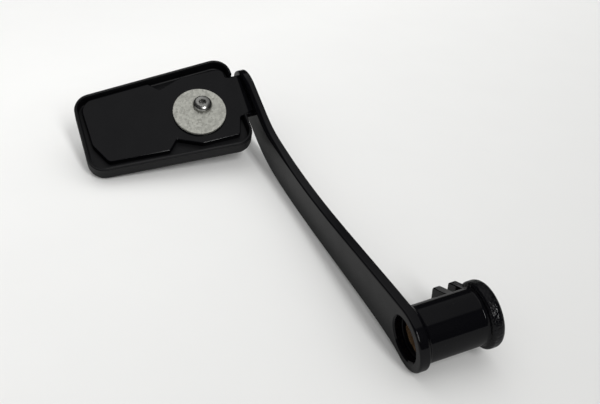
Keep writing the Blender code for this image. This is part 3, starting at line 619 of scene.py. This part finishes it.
def plate_line():
    """The pad plate seen from above: a tapered outer part, a notch on each long edge, and
    an inner part that narrows to the neck at the arm."""
    end_x = PAD_END_X + PAD_WALL + PLATE_END_CLEARANCE
    step_x = NOTCH_X - NOTCH_STEEP
    slope_x = NOTCH_X + NOTCH_SLOPE
    root_x = ARM_THICKNESS / 3

    def far(x):
        return pad_edge_y(x, 1) - PAD_WALL - PLATE_FAR_CLEARANCE

    def near(x):
        return pad_edge_y(x, -1) + PAD_WALL + PLATE_NEAR_CLEARANCE

    return rounded([
        (root_x, NECK_FAR_Y, 0.0),
        (PLATE_INNER_X, NECK_FAR_Y, NECK_FAR_CORNER),
        (PLATE_INNER_X, PLATE_INNER_FAR_Y, PLATE_INNER_CORNER),
        (slope_x, PLATE_INNER_FAR_Y, NOTCH_SLOPE_CORNER),
        (NOTCH_X, far(NOTCH_X) - NOTCH_DEPTH, NOTCH_FAR_ROOT),
        (step_x, far(step_x), NOTCH_FAR_SHOULDER),
        (end_x, far(end_x), PLATE_FAR_CORNER),
        (end_x, near(end_x) + PLATE_CHAMFER[1], PLATE_END_CORNER),
        (end_x + PLATE_CHAMFER[0], near(end_x + PLATE_CHAMFER[0]), PLATE_CHAMFER_CORNER),
        (step_x, near(step_x), NOTCH_NEAR_SHOULDER),
        (NOTCH_X, near(NOTCH_X) + NOTCH_DEPTH, NOTCH_NEAR_ROOT),
        (slope_x, PLATE_INNER_NEAR_Y, NOTCH_SLOPE_CORNER),
        (PLATE_INNER_X - PLATE_NECK_SLOPE, PLATE_INNER_NEAR_Y, PLATE_NECK_CORNER),
        (PLATE_INNER_X, NECK_NEAR_Y, PLATE_NECK_CORNER),
        (root_x, NECK_NEAR_Y, 0.0),
    ])


def make_plate():
    """The pad plate with a softened edge all round."""
    plate = slab("plate", plate_line(), PLATE_FOOT_Z, PLATE_TOP_Z)
    round_edges(plate, rim_at(2, PLATE_FOOT_Z, PLATE_TOP_Z), PLATE_EDGE)
    return plate


def fillet_section(side, reach, rise, face_z):
    """The hollow fillet between the plate and the arm's outboard face, as (x, z) points."""
    hollow = [(NECK_SINK + u * reach, face_z + side * (v * rise - NECK_SINK))
              for u, v in arc((-1.0, 1.0), 1.0, -90.0, 0.0, 20)]
    inside = ARM_THICKNESS / 4
    sunk = face_z - side * PLATE_THICKNESS / 3
    return [(hollow[0][0], sunk)] + hollow + [(inside, hollow[-1][1]), (inside, sunk)]


def add_fillet(lever, side, near, far, face_z):
    """Bridge the fillet's section from the near end of the neck to the far one."""
    ends = (NECK_NEAR_Y + 2 * PLATE_EDGE, NECK_FAR_Y - 2 * PLATE_EDGE)
    upright = Matrix.Rotation(math.pi / 2, 4, "X")
    fillet, far_end = (drawn("fillet", fillet_section(side, *size, face_z)) for size in (near, far))
    for line, y in ((fillet, ends[0]), (far_end, ends[1])):
        put(line, Matrix.Translation((0.0, y, 0.0)) @ upright)
    pick(fillet)
    far_end.select_set(True)
    bpy.ops.object.join()
    open_mesh(fillet)
    bpy.ops.mesh.bridge_edge_loops()
    for y in ends:
        choose(fillet, "edges", rim_at(1, y))
        bpy.ops.mesh.edge_face_add()
    close_mesh()
    join(lever, fillet)


def make_lever():
    lever = make_arm()
    join(lever, lathe("hub", hub_section()))
    join(lever, make_plate())
    add_fillet(lever, 1, NECK_FILLET_NEAR, NECK_FILLET_FAR, PLATE_TOP_Z)
    add_fillet(lever, -1, NECK_FOOT_FILLET, NECK_FOOT_FILLET, PLATE_FOOT_Z)
    add_ears(lever)
    cut(lever, bore_tool())
    low, high = PLATE_FOOT_Z - PLATE_THICKNESS, PLATE_TOP_Z + PLATE_THICKNESS
    hole = [(low, 0.0), (low, PLATE_HOLE_RADIUS), (high, PLATE_HOLE_RADIUS), (high, 0.0)]
    cut(lever, lathe("plate_hole", hole, SCREW_PLACE, axis="Z", steps=72))
    smooth(lever)
    return lever


# Pad

def pad_line():
    """The pad's tapered outline seen from above, with round corners."""
    far_end = PAD_END_X + PAD_END_SLANT / 2
    near_end = PAD_END_X - PAD_END_SLANT / 2
    far_arm = PAD_ARM_X + PAD_ARM_SLANT / 2
    near_arm = PAD_ARM_X - PAD_ARM_SLANT / 2
    return rounded([(far_arm, pad_edge_y(far_arm, 1), PAD_CORNER_RADIUS),
                    (far_end, pad_edge_y(far_end, 1), PAD_CORNER_RADIUS),
                    (near_end, pad_edge_y(near_end, -1), PAD_CORNER_RADIUS),
                    (near_arm, pad_edge_y(near_arm, -1), PAD_CORNER_RADIUS)], 16)


def top_face(height):
    """A test for the flat faces that look up at a height."""
    return lambda face: face.normal.z > 0.99 and abs(face.calc_center_median().z - height) < WELD


def step_up(obj, height, inset, rise):
    """Inset the flat top face at a height and extrude the inner face by a rise."""
    choose(obj, "faces", top_face(height))
    bpy.ops.mesh.inset(thickness=inset, use_even_offset=True)
    bpy.ops.mesh.extrude_region_move(TRANSFORM_OT_translate={"value": (0.0, 0.0, rise)})


def make_tray():
    """The pad's tray: its wall, the lip set back on it, and the floor that the plate lies on."""
    lip_low = RIM_Z - PAD_LIP_HEIGHT
    wall_top = lip_low - PAD_LIP_STEP
    tray = slab("pedal_pad_tray", pad_line(), PAD_FOOT_Z, wall_top)
    open_mesh(tray)
    choose(tray, "faces", top_face(wall_top))
    bpy.ops.mesh.extrude_region_move(TRANSFORM_OT_translate={"value": (0.0, 0.0, PAD_LIP_STEP)})
    bpy.ops.mesh.inset(thickness=PAD_LIP_STEP, use_even_offset=True)
    bpy.ops.mesh.extrude_region_move(TRANSFORM_OT_translate={"value": (0.0, 0.0, PAD_LIP_HEIGHT)})
    step_up(tray, RIM_Z, PAD_WALL - PAD_LIP_STEP, TRAY_FLOOR_Z - RIM_Z)
    close_mesh()
    round_edges(tray, rim_at(2, RIM_Z), PAD_LIP_ROUND, 6)
    round_edges(tray, rim_at(2, PAD_FOOT_Z), PAD_FOOT_ROUND, 10)
    round_edges(tray, rim_at(2, TRAY_FLOOR_Z), PAD_FLOOR_ROUND, 5)
    round_edges(tray, rim_at(2, lip_low), PAD_LIP_FOOT_ROUND, 3)
    return tray


def make_rib(y):
    """One tread rib with round ends, as long as the pad allows."""
    x_arm = PAD_ARM_X - RIB_END_MARGIN
    x_end = PAD_END_X + RIB_END_MARGIN
    half = RIB_WIDTH / 2
    line = arc((x_arm - half, y), half, -90.0, 90.0, 16) + arc((x_end + half, y), half, 90.0, 270.0, 16)
    foot = PAD_FOOT_Z - RIB_HEIGHT
    rib = slab("rib", line, foot, PAD_FOOT_Z + RIB_EDGE)
    round_edges(rib, rim_at(2, foot), RIB_EDGE)
    return rib


def insert_pocket():
    """The hollow in the pad that the threaded insert fills, open at the tray's floor."""
    top = TRAY_FLOOR_Z + GAP
    flange_top = TRAY_FLOOR_Z - INSERT_HUB_ABOVE_FLANGE
    flange_foot = flange_top - INSERT_FLANGE_THICKNESS - 2 * GAP
    foot = TRAY_FLOOR_Z - INSERT_HEIGHT - 2 * GAP
    hub = INSERT_HUB_RADIUS + GAP
    flange = INSERT_FLANGE_RADIUS + GAP
    section = [(top, 0.0), (top, hub), (flange_top, hub), (flange_top, flange), (flange_foot, flange),
               (flange_foot, hub), (foot, hub), (foot, 0.0)]
    return lathe("pocket", section, SCREW_PLACE, axis="Z", steps=64)


def make_pad():
    pad = make_tray()
    for i in range(RIB_COUNT):
        join(pad, make_rib(PAD_CENTRE_Y + (i - (RIB_COUNT - 1) / 2) * RIB_PITCH))
    low, high = NECK_NEAR_Y - NECK_CLEARANCE, NECK_FAR_Y + NECK_CLEARANCE
    outer_x, inner_x = PAD_ARM_X + PAD_WALL, PAD_ARM_X - 2 * PAD_WALL
    gate = rounded([(outer_x, low, 0.0), (outer_x, high, 0.0),
                    (inner_x, high, GATE_CORNER), (inner_x, low, GATE_CORNER)])
    cut(pad, slab("gate", gate, TRAY_FLOOR_Z, RIM_Z + PAD_WALL))
    cut(pad, insert_pocket())
    smooth(pad)
    return pad


# Screw, washer and bushes

def make_washer():
    """The large washer, its hole off the centre, its punched edge rounded at the top."""
    centre = tuple(place + offset for place, offset in zip(SCREW_PLACE, WASHER_OFFSET))
    rim = WASHER_RADIUS - WASHER_EDGE
    section = [(WASHER_FOOT_Z, 0.0)]
    section += arc((WASHER_FOOT_Z + WASHER_EDGE, rim), WASHER_EDGE, 180.0, 90.0, 4)
    section += arc((WASHER_TOP_Z - WASHER_EDGE, rim), WASHER_EDGE, 90.0, 0.0, 4)
    section += [(WASHER_TOP_Z, 0.0)]
    washer = lathe("pad_washer_plated", section, centre, axis="Z", steps=160)
    low, high = WASHER_FOOT_Z - WASHER_THICKNESS, WASHER_TOP_Z + WASHER_THICKNESS
    hole = [(low, 0.0), (low, SHANK_RADIUS + GAP), (high, SHANK_RADIUS + GAP), (high, 0.0)]
    cut(washer, lathe("washer_hole", hole, SCREW_PLACE, axis="Z", steps=64))
    smooth(washer)
    return washer


def make_screw():
    """A button head socket screw: domed head, hexagonal socket with a cone at its foot."""
    seat = HEAD_SEAT_Z
    crown = HEAD_HEIGHT - HEAD_RIM
    reach = HEAD_RADIUS - HEAD_FLAT_RADIUS
    dome = [(seat + HEAD_RIM + crown * u, HEAD_FLAT_RADIUS + reach * v)
            for v, u in arc((0.0, 0.0), 1.0, 0.0, 90.0, 20)]
    tip = seat - SHANK_LENGTH
    section = [(tip, 0.0), (tip, SHANK_RADIUS - SHANK_LEAD), (tip + SHANK_LEAD, SHANK_RADIUS),
               (seat, SHANK_RADIUS), (seat, HEAD_RADIUS - HEAD_RIM_ROUND),
               (seat + HEAD_RIM_ROUND, HEAD_RADIUS)]
    section += dome + [(seat + HEAD_HEIGHT, 0.0)]
    screw = lathe("pad_screw_button_head", section, SCREW_PLACE, axis="Z", steps=96)
    top = seat + HEAD_HEIGHT
    floor = top - SOCKET_DEPTH
    hexagon = [along(SCREW_PLACE, 30.0 + 60.0 * k, SOCKET_CORNER) for k in range(6)]
    cut(screw, slab("socket", hexagon, floor, top + SOCKET_DEPTH))
    mouth = SOCKET_CORNER + MOUTH_CONE_OUTSIDE
    cone = [(top - MOUTH_CONE_DEPTH, 0.0), (top - MOUTH_CONE_DEPTH, SOCKET_CORNER - MOUTH_CONE_INSIDE),
            (top + MOUTH_CONE_RISE, mouth), (top + SOCKET_DEPTH, mouth), (top + SOCKET_DEPTH, 0.0)]
    cut(screw, lathe("socket_mouth", cone, SCREW_PLACE, axis="Z", steps=96))
    start = floor + DRILL_START
    drill = [(floor - DRILL_DEPTH, 0.0), (start, DRILL_RADIUS), (start, 0.0)]
    cut(screw, lathe("socket_foot", drill, SCREW_PLACE, axis="Z", steps=48))
    smooth(screw)
    return screw


def make_bush(name, start):
    """A plain bronze bush with broken edges, from its start along the hub."""
    outer = BORE_RADIUS - GAP
    inner = outer - BUSH_WALL
    end = start + BUSH_LENGTH
    c = BUSH_CHAMFER
    section = [(start, inner + c), (start, outer - c), (start + c, outer), (end - c, outer),
               (end, outer - c), (end, inner + c), (end - c, inner), (start + c, inner)]
    bush = lathe(name, section, closed=True)
    smooth(bush)
    return bush


# Shader tools

class Wire:
    """A socket in a node tree. Arithmetic on it adds maths nodes."""

    def __init__(self, owner, socket):
        self.owner = owner
        self.socket = socket

    def maths(self, operation, first, second):
        return self.owner.node("ShaderNodeMath", {"operation": operation}, {0: first, 1: second})

    def __add__(self, other):
        return self.maths("ADD", self, other)

    def __radd__(self, other):
        return self.maths("ADD", other, self)

    def __sub__(self, other):
        return self.maths("SUBTRACT", self, other)

    def __rsub__(self, other):
        return self.maths("SUBTRACT", other, self)

    def __mul__(self, other):
        return self.maths("MULTIPLY", self, other)

    def __rmul__(self, other):
        return self.maths("MULTIPLY", other, self)


class Tree:
    """A node tree and the nodes that are added to it."""

    def __init__(self, tree):
        self.tree = tree

    def node(self, kind, settings=None, values=None, output=0):
        """Add a node: settings first, then the values or wires of its sockets."""
        node = self.tree.nodes.new(kind)
        for key, value in (settings or {}).items():
            setattr(node, key, value)
        for key, value in (values or {}).items():
            if isinstance(value, Wire):
                self.tree.links.new(value.socket, node.inputs[key])
            else:
                node.inputs[key].default_value = value
        return Wire(self, node.outputs[output])

    def parts(self, vector):
        """The three numbers of a vector."""
        return [self.node("ShaderNodeSeparateXYZ", values={0: vector}, output=k) for k in range(3)]

    def fade(self, wire, full, none):
        """One where the wire is at full, nought where it is at none, and even between."""
        return self.node("ShaderNodeMapRange", values={
            "Value": wire, "From Min": none, "From Max": full, "To Min": 0.0, "To Max": 1.0})


class Finish(Tree):
    """One material: its shader, its Object coordinates and the nodes that feed it."""

    def __init__(self, name, colour, roughness, metallic=0.0):
        self.material = bpy.data.materials.new(name)
        self.material.use_nodes = True
        super().__init__(self.material.node_tree)
        self.shader = self.tree.nodes["Principled BSDF"]
        self.shader.inputs["Base Color"].default_value = (*colour, 1.0)
        self.shader.inputs["Roughness"].default_value = roughness
        self.shader.inputs["Metallic"].default_value = metallic
        self.place = self.node("ShaderNodeTexCoord", output="Object")

    def feed(self, name, wire):
        """Feed one of the shader's sockets."""
        self.tree.links.new(wire.socket, self.shader.inputs[name])

    def dull(self, colour, share):
        """Mix the shader with the same colour without any gloss, by a share from 0 to 1."""
        matt = self.node("ShaderNodeBsdfPrincipled", values={
            "Base Color": (*colour, 1.0), "Roughness": 0.8, "Specular IOR Level": 0.0})
        mixed = self.node("ShaderNodeMixShader", values={
            0: share, 1: Wire(self, self.shader.outputs[0]), 2: matt})
        self.tree.links.new(mixed.socket, self.tree.nodes["Material Output"].inputs["Surface"])

    def noise(self, size, detail=2.0, roughness=0.5):
        """Soft noise with lumps of about a size, in metres."""
        return self.node("ShaderNodeTexNoise", values={
            "Vector": self.place, "Scale": 1.0 / size, "Detail": detail, "Roughness": roughness})

    def cells(self, size, output="Distance", place=None):
        """Cells of about a size, in metres."""
        return self.node("ShaderNodeTexVoronoi", values={
            "Vector": place or self.place, "Scale": 1.0 / size}, output=output)

    def blend(self, share, first, second):
        """Two colours mixed by a share from 0 to 1."""
        return self.node("ShaderNodeMix", {"data_type": "RGBA"}, {
            0: share, 6: first if isinstance(first, Wire) else (*first, 1.0),
            7: second if isinstance(second, Wire) else (*second, 1.0)}, output=2)

    def in_pedal(self):
        """Object coordinates turned to the pedal's own axes."""
        return self.node("ShaderNodeMapping", {"vector_type": "TEXTURE"}, {
            "Vector": self.place, "Location": PEDAL_PLACE.translation, "Rotation": REST_TURN})

    def bump(self, height, depth):
        """Relief of a depth in metres, from a height between 0 and 1."""
        self.feed("Normal", self.node("ShaderNodeBump", values={"Height": height, "Distance": depth}))


# Finishes

BLACK = (0.0019, 0.0019, 0.0025)


def gloss_black_coat():
    """Black paint: gloss over deep black, lumpy on the rough collar, with a little settled dust."""
    coat = Finish("gloss_black_coat", BLACK, 0.12)
    coat.dull(BLACK, 0.67 + 0.06 * coat.noise(12.0 * MM, 2.0))
    dust = coat.fade(coat.cells(3.4 * MM), 0.02, 0.05)
    coat.feed("Base Color", coat.blend(dust, BLACK, (0.09, 0.09, 0.09)))
    coat.feed("Roughness", 0.10 + 0.3 * dust)
    along_hub = coat.parts(coat.in_pedal())[0]
    rough_cast = coat.fade(along_hub, ROUGH_CAST_X + ROUGH_CAST_FADE, ROUGH_CAST_X - ROUGH_CAST_FADE)
    lumps = coat.noise(1.6 * MM, 2.0) * rough_cast
    coat.bump(0.015 * coat.noise(2.5 * MM, 1.0) + lumps, 0.65 * MM)
    return coat.material


def moulded_rubber():
    """Black moulded rubber: a broad, weak sheen, slightly cloudy."""
    rubber = Finish("moulded_rubber", BLACK, 0.48)
    cloud = rubber.noise(9.0 * MM, 3.0)
    rubber.dull(BLACK, 0.62 - 0.1 * cloud)
    rubber.feed("Roughness", 0.44 + 0.08 * cloud)
    rubber.bump(rubber.noise(0.35 * MM, 2.0), 0.012 * MM)
    return rubber.material


def plated_washer():
    """Galvanised steel: a dull zinc coat with small mottled grains and a few dark pits."""
    zinc = Finish("plated_washer", (0.36, 0.36, 0.33), 0.5, metallic=0.6)
    bent = zinc.node("ShaderNodeVectorMath", {"operation": "ADD"}, {
        0: zinc.place, 1: zinc.node("ShaderNodeVectorMath", {"operation": "SCALE"}, {
            0: zinc.noise(2.0 * MM, 2.0), "Scale": 1.2 * MM})})
    grains = zinc.cells(1.5 * MM, "Color", place=bent)
    fine = zinc.noise(0.6 * MM, 3.0, 0.6)
    share = grains * 0.5 + fine * 0.5
    pits = zinc.fade(zinc.cells(4.2 * MM), 0.04, 0.10)
    grey = zinc.blend(share, (0.16, 0.16, 0.14), (0.62, 0.62, 0.565))
    zinc.feed("Base Color", zinc.blend(pits, grey, (0.08, 0.08, 0.07)))
    zinc.feed("Roughness", 0.40 + 0.22 * share)
    zinc.bump(share, 0.010 * MM)
    return zinc.material


def bright_steel(name):
    """Plated steel, slightly cloudy."""
    steel = Finish(name, (0.30, 0.30, 0.29), 0.25, metallic=1.0)
    cloud = steel.noise(1.5 * MM, 3.0)
    steel.feed("Base Color", steel.blend(cloud, (0.17, 0.17, 0.16), (0.44, 0.44, 0.42)))
    steel.feed("Roughness", 0.20 + 0.14 * cloud)
    steel.bump(steel.noise(0.4 * MM, 2.0), 0.006 * MM)
    return steel.material


def bearing_bronze():
    """Sintered bronze, with black paint that has run in over the mouth's end of the bush."""
    bronze = Finish("bearing_bronze", (0.50, 0.34, 0.20), 0.34, metallic=1.0)
    pores = bronze.fade(bronze.cells(0.5 * MM), 0.3, 0.12)
    cloud = bronze.noise(4.0 * MM, 3.0)
    along_hub = bronze.parts(bronze.in_pedal())[0]
    edge = along_hub + 2.0 * MM * cloud
    painted = bronze.fade(edge, PAINT_RUNS_IN, PAINT_RUNS_IN + PAINT_EDGE)
    oiled = bronze.blend(cloud, (0.60, 0.44, 0.28), (0.97, 0.86, 0.70))
    worn = bronze.blend(pores, oiled, (0.24, 0.15, 0.08))
    bronze.feed("Base Color", bronze.blend(painted, worn, BLACK))
    bronze.feed("Metallic", 0.6 - 0.6 * painted)
    bronze.dull(BLACK, 0.8 * painted)
    bronze.feed("Roughness", 0.24 + 0.2 * cloud)
    bronze.bump(pores * (1.0 - painted), 0.02 * MM)
    return bronze.material


def bench_top():
    """A plain pale bench top with painted light and shade: its colour is lighter towards the back left
    and darker towards the front right, where less light falls, with a few faint smudges.
    """
    top = Finish("bench_top", (0.80, 0.80, 0.79), 0.55)
    x, y, _ = top.parts(top.place)
    # Painted light and shade: the base colour lightens towards the back left and darkens towards the
    # front right, standing in for how the studio light falls on the bench
    light = top.fade(y * BENCH_PAINTED_LIGHT_BACK_SHARE - x, BENCH_PAINTED_LIGHT_RANGE[1], BENCH_PAINTED_LIGHT_RANGE[0])
    shade = top.blend(light, (0.64, 0.64, 0.63), (0.98, 0.98, 0.965))
    smudge = top.noise(60.0 * MM, 3.0)
    top.feed("Base Color", top.blend(0.08 * smudge, shade, (0.45, 0.45, 0.45)))
    top.feed("Roughness", 0.5 + 0.1 * smudge)
    return top.material


def wear(piece, material, slot, *nodes):
    """Lay a finished piece down on the CAD model with its finish, in place of CAD nodes."""
    put(piece, PEDAL_PLACE)
    piece.data.materials.clear()
    piece.data.materials.append(material)
    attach(piece, "root")
    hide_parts(*nodes)


def pedal_place():
    """The pedal's axes as the CAD model lies, found from the outboard bush's centre."""
    low, high = (Vector(corner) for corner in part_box("outboard_bush"))
    turn = Euler(REST_TURN, "XYZ").to_matrix().to_4x4()
    bush_centre = turn @ Vector((BUSH_RECESS + BUSH_LENGTH / 2, 0.0, 0.0))
    return Matrix.Translation((low + high) / 2 - bush_centre) @ turn


PEDAL_PLACE = pedal_place()


def add_stage():
    """The bench top that the pedal lies on."""
    bpy.ops.mesh.primitive_plane_add(size=BENCH_SIZE, location=(0.0, 0.0, 0.0))
    bench = bpy.context.object
    bench.name = "bench"
    bench.data.materials.append(bench_top())


def add_lamp(name, kind, place, energy):
    """A lamp of a kind that looks at the pedal from a place."""
    light = bpy.data.lights.new(name, kind)
    light.energy = energy
    lamp = bpy.data.objects.new(name, light)
    bpy.context.scene.collection.objects.link(lamp)
    lamp.location = place
    lamp.rotation_euler = (-Vector(place)).to_track_quat("-Z", "Y").to_euler()
    return lamp


def add_strip(name, place, width, height, watts):
    """A softbox strip, which the gloss mirrors."""
    strip = add_lamp(name, "AREA", place, watts).data
    strip.shape = "RECTANGLE"
    strip.size = width
    strip.size_y = height


def add_fill(name, place, spread, strength):
    """Even fill light, spread over an angle in degrees, that the gloss doesn't mirror."""
    fill = add_lamp(name, "SUN", place, strength)
    fill.data.angle = math.radians(spread)
    fill.visible_glossy = False


def add_light():
    """Soft studio light: a bright ceiling that reaches down behind and is dimmer on the right,
    a dark front, two even fills and one softbox strip."""
    world = bpy.data.worlds.new("studio")
    bpy.context.scene.world = world
    world.use_nodes = True
    studio = Tree(world.node_tree)
    x, y, z = studio.parts(studio.node("ShaderNodeTexCoord", output="Generated"))
    lift = z + CEILING_LEAN * (x * CAMERA_HEADING[0] + y * CAMERA_HEADING[1])
    dimmed = CEILING_DIM_SHARE * studio.fade(x, *CEILING_DIMS_RIGHT)
    ceiling = studio.fade(lift, *CEILING_EDGE) * (1.0 - dimmed)
    level = WORLD_DARK + (WORLD_CEILING - WORLD_DARK) * ceiling
    background = world.node_tree.nodes["Background"]
    background.inputs["Color"].default_value = (1.0, 1.0, 1.0, 1.0)
    world.node_tree.links.new(level.socket, background.inputs["Strength"])
    add_fill("sky_fill", (0.0, 0.0, 2.0), spread=150.0, strength=1.27)
    add_fill("left_fill", (-1.6, -1.2, 1.7), spread=50.0, strength=0.4)
    add_strip("front_key", (0.2, -2.7, 2.4), width=0.5, height=1.8, watts=72.0)


def add_camera():
    """The camera at the photograph's place."""
    camera = bpy.data.objects.new("camera", bpy.data.cameras.new("camera"))
    camera.data.lens = CAMERA_LENS
    camera.data.clip_start = 0.01
    camera.location = CAMERA_PLACE
    camera.rotation_euler = [math.radians(angle) for angle in CAMERA_ANGLES]
    bpy.context.scene.collection.objects.link(camera)
    bpy.context.scene.camera = camera


add_camera()
add_stage()
add_light()

wear(make_lever(), gloss_black_coat(), "black_gloss_paint", "pedal_lever")
wear(make_pad(), moulded_rubber(), "black_rubber", "pedal_pad")
wear(make_washer(), plated_washer(), "galvanised_steel", "pad_washer")
wear(make_screw(), bright_steel("bright_steel"), "bright_steel", "pad_screw")
bronze = bearing_bronze()
bush_starts = {"outboard_bush": BUSH_RECESS, "inboard_bush": HUB_LENGTH - BUSH_RECESS - BUSH_LENGTH}
for bush, start in bush_starts.items():
    wear(make_bush(bush + "_plain", start), bronze, "bronze", bush)

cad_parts["pad_insert"].material_slots[0].material = bright_steel("insert_steel")

bpy.context.scene.view_settings.view_transform = "Standard"
